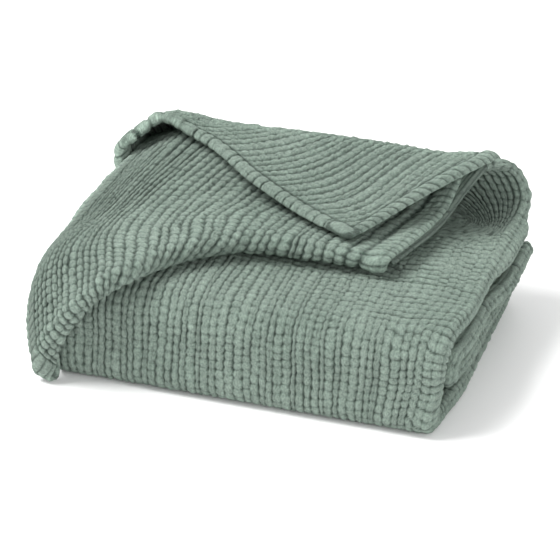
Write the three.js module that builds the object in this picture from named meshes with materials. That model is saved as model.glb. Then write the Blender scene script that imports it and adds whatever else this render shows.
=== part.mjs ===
import * as THREE from 'three';

// A cotton gauze blanket, folded in half twice into a strip of four plies, and the strip
// folded back and forth into a stack. Its last stretch rolls over at the back and comes
// forward on top, with the corner of the uppermost ply turned back.
// Millimetres. X runs along the front, Y from front to back, Z up.

const cloth = { thickness: 4.2, pitch: 7.2 };

// The stack: the straight width between its side folds, and where its turns lie.
const stack = { left: 5, right: 392, frontTurnY: 56.5, backTurnY: 268, endY: 284 };

// The roll at the back that lifts the last stretch over the top.
const ridge = { y: 262, radius: 33.7, startY: 250, sag: 6 };

const half = cloth.thickness / 2;
const pitch = cloth.pitch;
const layer = 4 * pitch;
const wrapRadius = 1.5 * layer;
const innerRadius = 0.5 * layer;
const middleZ = wrapRadius + 1.5 * pitch + half;
const topZ = middleZ + wrapRadius;

// The plies in the order in which the cloth runs, from hem to hem. The offset counts
// pitches from the middle of the strip towards its outer face.
const plies = {
  a: { offset: -1.5, hem: true },
  d: { offset: 1.5, hem: false },
  c: { offset: 0.5, hem: false },
  b: { offset: -0.5, hem: true },
};

// The side folds: how far the right one swells, how far the two hems lie back inside it,
// and how many pitches each of the three folds bulges at most.
const sideFold = { swell: 9.0, reach: 34, hemSetBack: 38, widest: [1.6, 1.6, 0.7] };

// The strip, one row for each run or turn, from its inner end to the roll at the back.
const stretches = [
  { name: 'inner end', kind: 'run', level: 1, from: stack.endY, to: stack.frontTurnY, steps: 3 },
  { name: 'inner front', kind: 'front', radius: innerRadius, sense: -1, steps: 5 },
  { name: 'third', kind: 'run', level: -1, from: stack.frontTurnY, to: stack.backTurnY, steps: 3 },
  { name: 'back', kind: 'back', radius: innerRadius, sense: 1, steps: 6 },
  { name: 'bottom', kind: 'run', level: -3, from: stack.backTurnY, to: stack.frontTurnY, steps: 3 },
  { name: 'front', kind: 'front', radius: wrapRadius, sense: 1, steps: 11 },
  { name: 'top', kind: 'run', level: 3, from: stack.frontTurnY, to: ridge.startY, steps: 5 },
  { name: 'roll', kind: 'ridge', radius: ridge.radius, sense: -1, steps: 10 },
];

// Sections of the second ply where it comes forward from the roll to the lip. One row
// for each section from the left edge to the right hem, with three places on the way.
const restSections = [
  { at: 0.0, shoulder: [-15, 116, 128], belly: [-19, 6, 96], crest: [-17, -16, 17] },
  { at: 0.12, shoulder: [10, 134, 133], belly: [-6, 12, 119], crest: [0, -23, 56] },
  { at: 0.25, shoulder: [46, 150, 134], belly: [26, 40, 132], crest: [32, -22, 104] },
  { at: 0.36, shoulder: [84, 166, 135], belly: [64, 72, 136], crest: [66, 4, 133] },
  { at: 0.48, shoulder: [134, 180, 135], belly: [108, 114, 137], crest: [104, 62, 138] },
  { at: 0.62, shoulder: [196, 192, 135], belly: [172, 148, 137], crest: [162, 106, 139] },
  { at: 0.8, shoulder: [270, 194, 136], belly: [250, 152, 136], crest: [238, 112, 138] },
  { at: 1.0, shoulder: [350, 210, 141], belly: [336, 156, 135], crest: [321, 107, 134] },
];

// The rolled lip at the same sections: its radius, how much of a half turn it curls under,
// and how its top leans, facing (leanX, leanY, 1).
const lipSections = [
  { at: 0.0, radius: 3, curl: 0.05, leanX: -1.2, leanY: -3.0 },
  { at: 0.12, radius: 7, curl: 0.7, leanX: -1.0, leanY: -2.6 },
  { at: 0.25, radius: 8.5, curl: 1, leanX: -0.5, leanY: -1.5 },
  { at: 0.36, radius: 10, curl: 1, leanX: -0.15, leanY: -0.6 },
  { at: 0.48, radius: 11, curl: 1, leanX: 0, leanY: -0.1 },
  { at: 0.62, radius: 11, curl: 1, leanX: 0, leanY: 0 },
  { at: 0.8, radius: 10, curl: 1, leanX: 0, leanY: 0 },
  { at: 1.0, radius: 6.5, curl: 1, leanX: 0, leanY: 0 },
];

// The end hem of the turned back ply, from the left end of the roll to its corner.
const turnedHem = [
  { at: 0.0, x: -8, y: 220, z: 153 },
  { at: 0.06, x: 20, y: 237, z: 170 },
  { at: 0.2, x: 74, y: 229, z: 169 },
  { at: 0.45, x: 146, y: 179, z: 158 },
  { at: 0.72, x: 213, y: 139, z: 150 },
  { at: 1.0, x: 275, y: 111, z: 146 },
];

// The two hidden plies under the rest: how many pitches they lie under it, and how far
// forward they reach, as a share of its length.
const hiddenDepth = { c: 1.1, cAtFold: 1.3, d: 2.25 };
const hiddenReach = [
  { at: 0.0, c: 1.0, d: 0.1 },
  { at: 0.12, c: 0.9, d: 0.17 },
  { at: 0.25, c: 0.87, d: 0.3 },
  { at: 0.5, c: 0.9, d: 0.62 },
  { at: 0.75, c: 0.9, d: 0.8 },
  { at: 1.0, c: 0.9, d: 0.86 },
];

// The part of the width, from the left fold, over which a hidden ply keeps to that fold,
// its width against the rest's, and how far it goes on under the lip.
const foldShare = 0.12;
const hiddenWidth = 0.975;
const hiddenTail = 0.04;

// Where the right edges run on the roll, by the share of the turn that is done.
const rollEdges = [
  { at: 0.0, fold: 392, hem: 354 },
  { at: 0.4, fold: 397, hem: 355 },
  { at: 0.65, fold: 389, hem: 355 },
  { at: 0.85, fold: 378, hem: 354 },
  { at: 1.0, fold: 366, hem: 353 },
];

// The roll's left end drops forward from its peak, its inner plies more than the turned
// back one, and its right end is lifted.
const rollDrop = { from: 60, to: -6, y: -18, z: -17, inner: -12, onwards: 0.45 };
const rollLift = { from: 352, to: 382, z: 9, share: 0.35, reach: 0.4 };

// The right side flares towards the back.
const flare = { from: 300, to: 400, deep: 90, x: 13 };

// The upper left front corner of the stack is pressed in by the cloth that hangs over it.
const press = { x: 5, z: -5, left: 45, front: 90, above: 50, over: 50 };

// The top is a little uneven: two long waves in height and one from front to back.
const unevenness = { height: 0.012, cross: 0.01, forward: 1.5, length: 61, width: 83 };

const counts = { arc: 4, rest: 7, lip: 4 };

// The columns of each ply, from its left edge to its right one, closer where it folds over.
const columns = [0, 0.04, 0.09, 0.2, 0.36, 0.54, 0.72, 0.88, 0.95, 1];

const clamp = (value, low = 0, high = 1) => Math.min(high, Math.max(low, value));
const smooth = (value) => {
  const v = clamp(value);
  return v * v * (3 - 2 * v);
};
const mix = (a, b, share) => a + (b - a) * share;

// A value from a table by its column, on a smooth curve through the rows.
function along(table, at, read) {
  let k = 0;
  while (k < table.length - 2 && at > table[k + 1].at) {
    k += 1;
  }
  const before = table[Math.max(k - 1, 0)];
  const start = table[k];
  const end = table[k + 1];
  const after = table[Math.min(k + 2, table.length - 1)];
  const span = end.at - start.at;
  const f = clamp((at - start.at) / span);
  const slopeStart = (read(end) - read(before)) / (end.at - before.at) * span;
  const slopeEnd = (read(after) - read(start)) / (after.at - start.at) * span;
  return hermite(read(start), slopeStart, read(end), slopeEnd, f);
}

function hermite(p0, t0, p1, t1, f) {
  const f2 = f * f;
  const f3 = f2 * f;
  return (2 * f3 - 3 * f2 + 1) * p0 + (f3 - 2 * f2 + f) * t0 + (3 * f2 - 2 * f3) * p1 + (f3 - f2) * t1;
}

// The front of the stack is a nest of turns that are squarer the further out they lie.
function frontTurn(radius, share) {
  const angle = mix(-Math.PI / 2, Math.PI / 2, share);
  const outward = radius / (wrapRadius + innerRadius);
  const power = 2 + (angle > 0 ? 0.8 : 1.8) * outward;
  const c = Math.cos(angle);
  const s = Math.sin(angle);
  const reach = radius / Math.pow(Math.pow(Math.abs(c), power) + Math.pow(Math.abs(s), power), 1 / power);
  return [stack.frontTurnY - reach * c, middleZ + reach * s];
}

// The place in the YZ section of a point that lies off the strip's middle by the offset.
function sectionPoint(stretch, share, offset) {
  if (stretch.kind === 'run') {
    const level = middleZ + stretch.level * innerRadius;
    const up = stretch.name === 'bottom' || stretch.name === 'inner end' ? -1 : 1;
    return [mix(stretch.from, stretch.to, share), level + up * offset];
  }
  const radius = stretch.radius + stretch.sense * offset;
  if (stretch.kind === 'front') {
    return frontTurn(radius, stretch.sense > 0 ? share : 1 - share);
  }
  if (stretch.kind === 'back') {
    const angle = mix(Math.PI / 2, -Math.PI / 2, share);
    return [stack.backTurnY + radius * Math.cos(angle), middleZ - layer + radius * Math.sin(angle)];
  }
  const angle = mix(-Math.PI / 2, Math.PI / 2, share);
  const lead = mix(ridge.startY, ridge.y, smooth(share * 2));
  return [lead + radius * Math.cos(angle), topZ + ridge.radius + radius * Math.sin(angle)];
}

// The right edge of a ply, and how the side fold swells near it.
function rightEdge(name, stretch, share) {
  const hem = plies[name].hem;
  if (stretch.kind === 'ridge') {
    return along(rollEdges, share, (row) => (hem ? row.hem : row.fold));
  }
  return hem ? stack.right - sideFold.hemSetBack : stack.right;
}

function swollen(name, offset, x, edge, stretch, share) {
  if (name !== 'c') {
    return offset;
  }
  const slack = stretch.kind === 'ridge' ? 1 - smooth((share - rollLift.share) / rollLift.reach) : 1;
  return offset - slack * sideFold.swell * smooth((x - edge + sideFold.reach) / sideFold.reach);
}

// A point of a ply in the stack or on the roll.
function stackPoint(name, across, stretch, share) {
  const edge = rightEdge(name, stretch, share);
  const width = stack.right - stack.left;
  const x = stack.left + width * across + (edge - stack.right) * Math.pow(across, 4);
  const offset = swollen(name, plies[name].offset * pitch, x, edge, stretch, share);
  const [y, z] = sectionPoint(stretch, share, offset);
  const point = new THREE.Vector3(x, y, z);
  if (stretch.kind === 'ridge') {
    const drop = smooth((rollDrop.from - x) / (rollDrop.from - rollDrop.to));
    const late = drop * smooth((share - rollDrop.onwards) / (1 - rollDrop.onwards));
    const lift = smooth((x - rollLift.from) / (rollLift.to - rollLift.from));
    point.y += rollDrop.y * late;
    point.z += rollDrop.z * drop * smooth(share) + (name === 'a' ? 0 : rollDrop.inner * late);
    point.z += rollLift.z * lift * smooth((share - rollLift.share) / rollLift.reach);
  }
  return settle(point);
}

// The slack of the real cloth: the right side flares, the cloth that hangs over the left
// corner presses it in, and the top is a little uneven.
function settle(point) {
  const { x, y, z } = point;
  const high = smooth(z / topZ);
  const wide = flare.x * smooth((x - flare.from) / (flare.to - flare.from)) * smooth(y / flare.deep);
  const corner = smooth((press.left - x) / press.over) * smooth((press.front - y) / press.over)
    * smooth((z - press.above) / press.over);
  const wave = unevenness.height * Math.sin(x / unevenness.length + y / unevenness.width)
    + unevenness.cross * Math.sin(1.3 + 1.6 * x / unevenness.length - 1.4 * y / unevenness.width);
  const sag = ridge.sag * smooth((z - topZ) / ridge.radius) * Math.sin(Math.PI * clamp(x / stack.right));
  return point.set(
    x + wide + press.x * corner,
    y + unevenness.forward * Math.sin(0.6 + x / unevenness.length) * high,
    z * (1 + wave * high) - sag + press.z * corner,
  );
}

const rollStretch = stretches[stretches.length - 1];
const step = 0.01;

// The rest: the second ply from the top of the roll to the crest of the lip, then round it.
function restPoint(across, share) {
  const start = stackPoint('b', across, rollStretch, 1);
  const read = (key, axis) => along(restSections, across, (row) => row[key][axis]);
  const places = [start];
  for (const key of ['shoulder', 'belly', 'crest']) {
    places.push(new THREE.Vector3(read(key, 0), read(key, 1), read(key, 2)));
  }
  const curve = new THREE.CatmullRomCurve3(places, false, 'centripetal');
  return curve.getPoint(clamp(share));
}

function restNormal(across, share) {
  const left = restPoint(clamp(across - step), share);
  const right = restPoint(clamp(across + step), share);
  const back = restPoint(across, clamp(share - step));
  const front = restPoint(across, clamp(share + step));
  return right.sub(left).cross(back.sub(front)).normalize();
}

function lipPoint(across, turn) {
  const crest = restPoint(across, 1);
  const tangent = restPoint(clamp(across + step), 1).sub(restPoint(clamp(across - step), 1)).normalize();
  const read = (key) => along(lipSections, across, (row) => row[key]);
  const up = new THREE.Vector3(read('leanX'), read('leanY'), 1);
  up.addScaledVector(tangent, -up.dot(tangent)).normalize();
  const ahead = new THREE.Vector3().crossVectors(tangent, up);
  const radius = read('radius') / read('curl');
  const angle = Math.PI * read('curl') * turn;
  crest.addScaledVector(up, radius * (Math.cos(angle) - 1));
  return crest.addScaledVector(ahead, radius * Math.sin(angle));
}

// The turned back ply, from the top of the roll to its end hem.
function turnedPoint(across, share) {
  const start = stackPoint('a', across, rollStretch, 1);
  const hem = new THREE.Vector3(
    along(turnedHem, across, (row) => row.x),
    along(turnedHem, across, (row) => row.y),
    along(turnedHem, across, (row) => row.z),
  );
  const span = start.distanceTo(hem);
  const path = hem.clone().sub(start);
  return new THREE.Vector3(
    hermite(start.x, path.x, hem.x, path.x, share),
    hermite(start.y, -span, hem.y, path.y, share),
    hermite(start.z, 0, hem.z, path.z, share),
  );
}

// The hidden plies follow the rest. The upper one hangs beside it down to the lip's end
// along the fold that joins the two.
function hiddenPoint(name, across, share, turn) {
  const depth = pitch * (name === 'd' ? hiddenDepth.d
    : mix(hiddenDepth.cAtFold, hiddenDepth.c, smooth(across / (2 * foldShare))));
  const inside = across * hiddenWidth;
  const reach = along(hiddenReach, across, (row) => row[name]);
  const under = (f) => restPoint(inside, f).addScaledVector(restNormal(inside, f), -depth);
  const beside = 1 - smooth(across / foldShare);
  const point = under(share * reach + hiddenTail * turn * (1 - beside));
  const gap = stackPoint(name, across, rollStretch, 1).sub(under(0));
  point.addScaledVector(gap, Math.pow(1 - share, 3));
  if (name === 'c') {
    point.addScaledVector(lipPoint(across, turn).sub(restPoint(across, 1)), beside);
  }
  return point;
}

function lastPoint(name, across, row) {
  const share = clamp(row / counts.rest);
  const turn = clamp((row - counts.rest) / counts.lip);
  if (name === 'a') {
    return turnedPoint(across, row / (counts.rest + counts.lip));
  }
  if (name === 'b') {
    return turn > 0 ? lipPoint(across, turn) : restPoint(across, share);
  }
  const slower = name === 'd' ? 1 - smooth(across) : 0;
  return hiddenPoint(name, across, mix(share, row / (counts.rest + counts.lip), slower), turn);
}

// One station of the strip: the points of its four plies, each from the side where the
// cloth comes in to the side where it goes on.
function stationPlies(read) {
  return Object.keys(plies).map((name, index) => {
    const order = index % 2 === 0 ? [...columns].reverse() : columns;
    return order.map((across) => read(name, across));
  });
}

function stripStations() {
  const stations = [];
  stretches.forEach((stretch, index) => {
    for (let k = index === 0 ? 0 : 1; k <= stretch.steps; k += 1) {
      stations.push(stationPlies((name, across) => stackPoint(name, across, stretch, k / stretch.steps)));
    }
  });
  for (let k = 1; k <= counts.rest + counts.lip; k += 1) {
    stations.push(stationPlies((name, across) => lastPoint(name, across, k)));
  }
  return stations;
}

// The side fold after a ply: a half turn square to the strip's run.
function foldPoints(stations, i, index) {
  const edgeOf = (station) => [station[index][columns.length - 1], station[index + 1][0]];
  const [from, to] = edgeOf(stations[i]);
  const before = edgeOf(stations[Math.max(i - 1, 0)]);
  const after = edgeOf(stations[Math.min(i + 1, stations.length - 1)]);
  const run = after[0].clone().add(after[1]).sub(before[0]).sub(before[1]);
  const arm = from.clone().sub(to).multiplyScalar(0.5);
  if (index === 0) {
    run.set(0, -arm.z, arm.y);
  }
  const outward = run.cross(arm).normalize();
  const inner = stations[i][index][columns.length - 2];
  if (outward.dot(inner) > outward.dot(from)) {
    outward.negate();
  }
  const middle = from.clone().add(to).multiplyScalar(0.5);
  const radius = Math.min(arm.length(), sideFold.widest[index] * pitch);
  const points = [];
  for (let k = 1; k < counts.arc; k += 1) {
    const angle = Math.PI * k / counts.arc;
    const point = middle.clone().addScaledVector(arm, Math.cos(angle));
    points.push(point.addScaledVector(outward, radius * Math.sin(angle)));
  }
  return points;
}

function stationRows() {
  const stations = stripStations();
  return stations.map((station, i) => station.flatMap((ply, index) => (
    index < station.length - 1 ? [...ply, ...foldPoints(stations, i, index)] : ply
  )));
}

// The closed body of the cloth: the sheet's two faces and the rim round its hems.
function clothGeometry(rows) {
  const down = rows.length;
  const wide = rows[0].length;
  const at = (i, j) => rows[clampIndex(i, down)][clampIndex(j, wide)];
  const positions = [];
  for (const side of [1, -1]) {
    for (let i = 0; i < down; i += 1) {
      for (let j = 0; j < wide; j += 1) {
        const run = at(i + 1, j).clone().sub(at(i - 1, j));
        const cross = at(i, j + 1).clone().sub(at(i, j - 1));
        const normal = run.cross(cross).normalize();
        const point = at(i, j).clone().addScaledVector(normal, side * half);
        positions.push(point.x, point.y, point.z);
      }
    }
  }
  const index = [];
  const lastRow = down - 1;
  const lastColumn = wide - 1;
  const vertex = (side, i, j) => side * down * wide + i * wide + j;
  const quad = (a, b, c, d) => index.push(a, b, c, a, c, d);
  const rim = (fromRow, fromColumn, toRow, toColumn) => quad(
    vertex(0, fromRow, fromColumn),
    vertex(0, toRow, toColumn),
    vertex(1, toRow, toColumn),
    vertex(1, fromRow, fromColumn),
  );
  for (let i = 0; i < lastRow; i += 1) {
    for (let j = 0; j < lastColumn; j += 1) {
      quad(vertex(0, i, j), vertex(0, i + 1, j), vertex(0, i + 1, j + 1), vertex(0, i, j + 1));
      quad(vertex(1, i, j), vertex(1, i, j + 1), vertex(1, i + 1, j + 1), vertex(1, i + 1, j));
    }
    rim(i + 1, 0, i, 0);
    rim(i, lastColumn, i + 1, lastColumn);
  }
  for (let j = 0; j < lastColumn; j += 1) {
    rim(0, j, 0, j + 1);
    rim(lastRow, j + 1, lastRow, j);
  }
  const geometry = new THREE.BufferGeometry();
  geometry.setAttribute('position', new THREE.Float32BufferAttribute(positions, 3));
  geometry.setIndex(index);
  return geometry;
}

function clampIndex(value, count) {
  return Math.min(count - 1, Math.max(0, value));
}

const geometry = clothGeometry(stationRows());
geometry.computeBoundingBox();
const box = geometry.boundingBox;
geometry.translate(-(box.min.x + box.max.x) / 2, -(box.min.y + box.max.y) / 2, -box.min.z);

const gauze = new THREE.MeshStandardMaterial({ color: 0x8fa596, roughness: 0.95, metalness: 0 });
const blanket = new THREE.Mesh(geometry, gauze);
blanket.name = 'blanket';

const group = new THREE.Group();
group.add(blanket);

export default group;
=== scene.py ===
import math

import bpy
import numpy as np
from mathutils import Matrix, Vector


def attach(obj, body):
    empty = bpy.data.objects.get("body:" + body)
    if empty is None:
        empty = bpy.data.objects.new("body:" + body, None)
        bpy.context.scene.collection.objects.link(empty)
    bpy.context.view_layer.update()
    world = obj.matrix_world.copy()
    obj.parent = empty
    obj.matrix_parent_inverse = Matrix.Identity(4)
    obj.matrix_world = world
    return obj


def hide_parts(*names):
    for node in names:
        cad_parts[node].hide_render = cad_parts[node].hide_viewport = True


# A cotton gauze blanket: folded in half twice into a strip of four plies, the strip folded
# back and forth into a stack, its last stretch rolled over at the back and brought forward,
# and the corner of the uppermost ply turned back. Built as one crinkled cloth on the folds
# of the solid, in six pieces whose joins lie inside the folds.
# Lengths are millimetres until a mesh is made. X along the front, Y to the back, Z up.

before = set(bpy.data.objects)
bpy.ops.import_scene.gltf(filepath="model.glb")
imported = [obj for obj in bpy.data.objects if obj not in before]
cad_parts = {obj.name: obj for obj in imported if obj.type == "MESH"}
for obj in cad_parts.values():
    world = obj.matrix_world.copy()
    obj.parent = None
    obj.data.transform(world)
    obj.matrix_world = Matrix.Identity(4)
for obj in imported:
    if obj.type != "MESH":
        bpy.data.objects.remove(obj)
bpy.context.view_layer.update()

rawToPart = -np.array([198.538476, 141.103769, 0.0])  # the solid stands on the middle of its box
perMetre = 1000
far = 1e9

cloth = dict(thickness=4.2, pitch=7.2)
stack = dict(left=5, right=392, frontTurnY=56.5, backTurnY=268, endY=284)
ridge = dict(y=262, radius=33.7, startY=250, sag=6)

half = cloth["thickness"] / 2
pitch = cloth["pitch"]
layer = 4 * pitch
wrapRadius = 1.5 * layer
innerRadius = 0.5 * layer
middleZ = wrapRadius + 1.5 * pitch + half
topZ = middleZ + wrapRadius

plyOrder = "adcb"  # the plies in the order in which the cloth runs, from hem to hem
plyOffset = dict(a=-1.5, d=1.5, c=0.5, b=-0.5)
plyHasHem = dict(a=True, d=False, c=False, b=True)

sideFold = dict(swell=9.0, reach=34, hemSetBack=38, widest=(1.6, 1.6, 0.7))


def table(names, *rows):
    # rows of numbers under the names of their columns
    return [dict(zip(names.split(), row)) for row in rows]


def run(level, start, end, length, up=1):
    return dict(kind="run", level=level, start=start, end=end, length=length, up=up)


def turn(kind, radius, sense, length):
    return dict(kind=kind, radius=radius, sense=sense, length=length)


# the strip, stretch by stretch, each with its length along the outermost ply
innerEnd = run(1, stack["endY"], stack["frontTurnY"], 227, up=-1)
innerFront = turn("front", innerRadius, -1, 45)
third = run(-1, stack["frontTurnY"], stack["backTurnY"], 212)
back = turn("back", innerRadius, 1, 79)
bottom = run(-3, stack["backTurnY"], stack["frontTurnY"], 212, up=-1)
front = turn("front", wrapRadius, 1, 184)
top = run(3, stack["frontTurnY"], ridge["startY"], 194)
roll = turn("ridge", ridge["radius"], -1, 100)
last = dict(kind="last", length=264)
begins = 0
for stretch in (innerEnd, innerFront, third, back, bottom, front, top, roll, last):
    stretch["begins"] = begins
    begins += stretch["length"]

# the second ply where it comes forward from the roll to the lip: three places on the way
restSections = table(
    "at shoulder belly crest",
    (0.0, (-15, 116, 128), (-19, 6, 96), (-17, -16, 17)),
    (0.12, (10, 134, 133), (-6, 12, 119), (0, -23, 56)),
    (0.25, (46, 150, 134), (26, 40, 132), (32, -22, 104)),
    (0.36, (84, 166, 135), (64, 72, 136), (66, 4, 133)),
    (0.48, (134, 180, 135), (108, 114, 137), (104, 62, 138)),
    (0.62, (196, 192, 135), (172, 148, 137), (162, 106, 139)),
    (0.8, (270, 194, 136), (250, 152, 136), (238, 112, 138)),
    (1.0, (350, 210, 141), (336, 156, 135), (321, 107, 134)),
)

# the rolled lip: its radius, how much of a half turn it curls under, and how its top leans
lipSections = table(
    "at radius curl leanX leanY",
    (0.0, 6, 0.35, -1.2, -3.0),
    (0.12, 8.5, 0.85, -1.0, -2.6),
    (0.25, 8.5, 1, -0.5, -1.5),
    (0.36, 10, 1, -0.15, -0.6),
    (0.48, 11, 1, 0, -0.1),
    (0.62, 11, 1, 0, 0),
    (0.8, 10, 1, 0, 0),
    (1.0, 6.5, 1, 0, 0),
)

# the end hem of the turned back ply, from the left end of the roll to its corner
turnedHem = table(
    "at point",
    (0.0, (-8, 220, 153)),
    (0.06, (20, 237, 170)),
    (0.2, (74, 229, 169)),
    (0.45, (146, 179, 158)),
    (0.72, (213, 139, 150)),
    (1.0, (275, 111, 146)),
)

# the two hidden plies: how deep they lie under the rest and how far forward they reach
hidden = dict(c=1.1, cAtFold=1.3, d=2.25, foldShare=0.12, width=0.975, tail=0.04)
hiddenReach = table(
    "at c d",
    (0.0, 1.0, 0.1), (0.12, 0.9, 0.17), (0.25, 0.87, 0.3),
    (0.5, 0.9, 0.62), (0.75, 0.9, 0.8), (1.0, 0.9, 0.86),
)

# where the right edges run on the roll, by the share of the turn that is done
rollEdges = table(
    "at fold hem",
    (0.0, 392, 354), (0.4, 397, 355), (0.65, 389, 355), (0.85, 378, 354), (1.0, 366, 353),
)

rollDrop = dict(start=60, end=-6, y=-18, z=-17, inner=-12, onwards=0.45)
rollLift = dict(start=318, end=376, z=12, share=0.35, reach=0.4)
hug = dict(reach=20, drop=13, start=0.22, over=0.3)  # how the flap's side hem wraps the roll's end
# how far the flap's hem stands up over the arch, and where: from there, over so much
peak = dict(x=28, spread=25, z=12, above=(125, 35), fromY=(190, 40), behind=0.6, behindY=(262, 30))
# how the stack sags: its toe moves, its right end is tucked in and bulges, its left end spreads
weight = dict(
    toe=9, toeAt=12, toeSpread=31,
    tuck=9, tuckX=(300, 90), tuckZ=(5, 60),
    bulge=12, bulgeX=(330, 60), bulgeY=(140, 70), bulgeZ=(38, 25), bulgeTop=(94, 18),
    spread=7, spreadX=(-30, 70), spreadY=(30, 70), spreadZ=(5, 55),
)
flare = dict(start=300, end=400, deep=90, x=13)
press = dict(x=5, z=-5, left=45, front=90, above=50, over=50)
unevenness = dict(height=0.012, cross=0.01, forward=1.5, length=61, width=83)
restRows = 7
lipRows = 4
lastRows = restRows + lipRows
nudge = 0.01  # the step for a slope on the curves below


def clamp(value, low=0.0, high=1.0):
    return np.minimum(high, np.maximum(low, value))


def smooth(value):
    v = clamp(value)
    return v * v * (3 - 2 * v)


def rise(value, start, length):
    return smooth((value - start) / length)  # from 0 at the start to 1 a length further on


def fall(value, start, length):
    return 1 - rise(value, start, length)


def mix(a, b, share):
    return a + (b - a) * share


def hump(distance, width):
    return np.exp(-(distance / width) ** 2)  # 1 in the middle, soft on both sides


def offMiddle(share):
    return np.abs(2 * share - 1)  # 0 in the middle of a rib or a band, 1 at its sides


def hermite(p0, t0, p1, t1, f):
    f2 = f * f
    f3 = f2 * f
    return (2 * f3 - 3 * f2 + 1) * p0 + (f3 - 2 * f2 + f) * t0 + (3 * f2 - 2 * f3) * p1 + (f3 - f2) * t1


def along(rows, at, key):
    # a number or a point from a table by its column, on a smooth curve through the rows
    at = np.asarray(at, float)
    places = np.array([row["at"] for row in rows], float)
    values = np.array([row[key] for row in rows], float)
    k = np.clip(np.searchsorted(places[1:-1], at, side="left"), 0, len(rows) - 2)
    if values.ndim > 1:
        places, at = places[:, None], at[..., None]
    before = np.maximum(k - 1, 0)
    after = np.minimum(k + 2, len(rows) - 1)
    span = places[k + 1] - places[k]
    f = clamp((at - places[k]) / span)
    slopeStart = (values[k + 1] - values[before]) / (places[k + 1] - places[before]) * span
    slopeEnd = (values[after] - values[k]) / (places[after] - places[k]) * span
    return hermite(values[k], slopeStart, values[k + 1], slopeEnd, f)


def vectors(x, y, z):
    x, y, z = np.broadcast_arrays(x, y, z)
    return np.stack([x, y, z], axis=-1).astype(float)


def unit(v):
    return v / np.maximum(np.linalg.norm(v, axis=-1, keepdims=True), 1e-9)


def dot(a, b):
    return np.sum(a * b, axis=-1, keepdims=True)


def lengths(points):
    # how far each point of a line, or of each column, lies from the first
    steps = np.linalg.norm(np.diff(points, axis=0), axis=-1)
    return np.concatenate([0 * steps[:1], np.cumsum(steps, axis=0)])


def frontCurve(radius, share):
    # the front is a nest of turns that are squarer the further out they lie
    angle = mix(-math.pi / 2, math.pi / 2, share)
    outward = radius / (wrapRadius + innerRadius)
    power = 2 + np.where(angle > 0, 0.8, 1.8) * outward
    c = np.abs(np.cos(angle))
    s = np.sin(angle)
    reach = radius / (c ** power + np.abs(s) ** power) ** (1 / power)
    return stack["frontTurnY"] - reach * c, middleZ + reach * s


def sectionPoint(stretch, share, offset):
    if stretch["kind"] == "run":
        level = middleZ + stretch["level"] * innerRadius
        return mix(stretch["start"], stretch["end"], share), level + stretch["up"] * offset
    radius = stretch["radius"] + stretch["sense"] * offset
    if stretch["kind"] == "front":
        return frontCurve(radius, share if stretch["sense"] > 0 else 1 - share)
    if stretch["kind"] == "back":
        angle = mix(math.pi / 2, -math.pi / 2, share)
        return stack["backTurnY"] + radius * np.cos(angle), middleZ - layer + radius * np.sin(angle)
    angle = mix(-math.pi / 2, math.pi / 2, share)
    lead = mix(ridge["startY"], ridge["y"], smooth(share * 2))
    return lead + radius * np.cos(angle), topZ + ridge["radius"] + radius * np.sin(angle)


def rightEdge(name, stretch, share):
    if stretch["kind"] == "ridge":
        return along(rollEdges, share, "hem" if plyHasHem[name] else "fold")
    return stack["right"] - sideFold["hemSetBack"] * plyHasHem[name] + 0 * share


def lifted(share):
    return rise(share, rollLift["share"], rollLift["reach"])


def swollen(name, offset, x, edge, stretch, share):
    if name != "c":
        return offset + 0 * x
    slack = 1 - lifted(share) if stretch["kind"] == "ridge" else 1
    return offset - slack * sideFold["swell"] * smooth((x - edge + sideFold["reach"]) / sideFold["reach"])


def settle(x, y, z):
    # slack of the real cloth: a flared side, a pressed corner and an uneven top
    high = smooth(z / topZ)
    wide = flare["x"] * smooth((x - flare["start"]) / (flare["end"] - flare["start"])) \
        * smooth(y / flare["deep"])
    over = press["over"]
    corner = smooth((press["left"] - x) / over) * smooth((press["front"] - y) / over) \
        * smooth((z - press["above"]) / over)
    length, width = unevenness["length"], unevenness["width"]
    wave = unevenness["height"] * np.sin(x / length + y / width) \
        + unevenness["cross"] * np.sin(1.3 + 1.6 * x / length - 1.4 * y / width)
    sag = ridge["sag"] * rise(z, topZ, ridge["radius"]) * np.sin(math.pi * clamp(x / stack["right"]))
    return vectors(
        x + wide + press["x"] * corner,
        y + unevenness["forward"] * np.sin(0.6 + x / length) * high,
        z * (1 + wave * high) - sag + press["z"] * corner,
    )


def stackPoint(name, across, stretch, share):
    edge = rightEdge(name, stretch, share)
    x = stack["left"] + (stack["right"] - stack["left"]) * across + (edge - stack["right"]) * across ** 4
    offset = swollen(name, plyOffset[name] * pitch, x, edge, stretch, share)
    y, z = sectionPoint(stretch, share, offset)
    x, y, z = np.broadcast_arrays(x, y, z)
    if stretch["kind"] == "ridge":
        if name == "a":
            wrapped = rise(share, hug["start"], hug["over"])
            x = x + hug["reach"] * across ** 6 * wrapped
            z = z - hug["drop"] * across ** 12 * wrapped
        drop = smooth((rollDrop["start"] - x) / (rollDrop["start"] - rollDrop["end"]))
        late = drop * smooth((share - rollDrop["onwards"]) / (1 - rollDrop["onwards"]))
        lift = smooth((x - rollLift["start"]) / (rollLift["end"] - rollLift["start"]))
        y = y + rollDrop["y"] * late
        z = z + rollDrop["z"] * drop * smooth(share) + (0 if name == "a" else rollDrop["inner"]) * late
        z = z + rollLift["z"] * lift * lifted(share)
    return settle(x, y, z)


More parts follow.
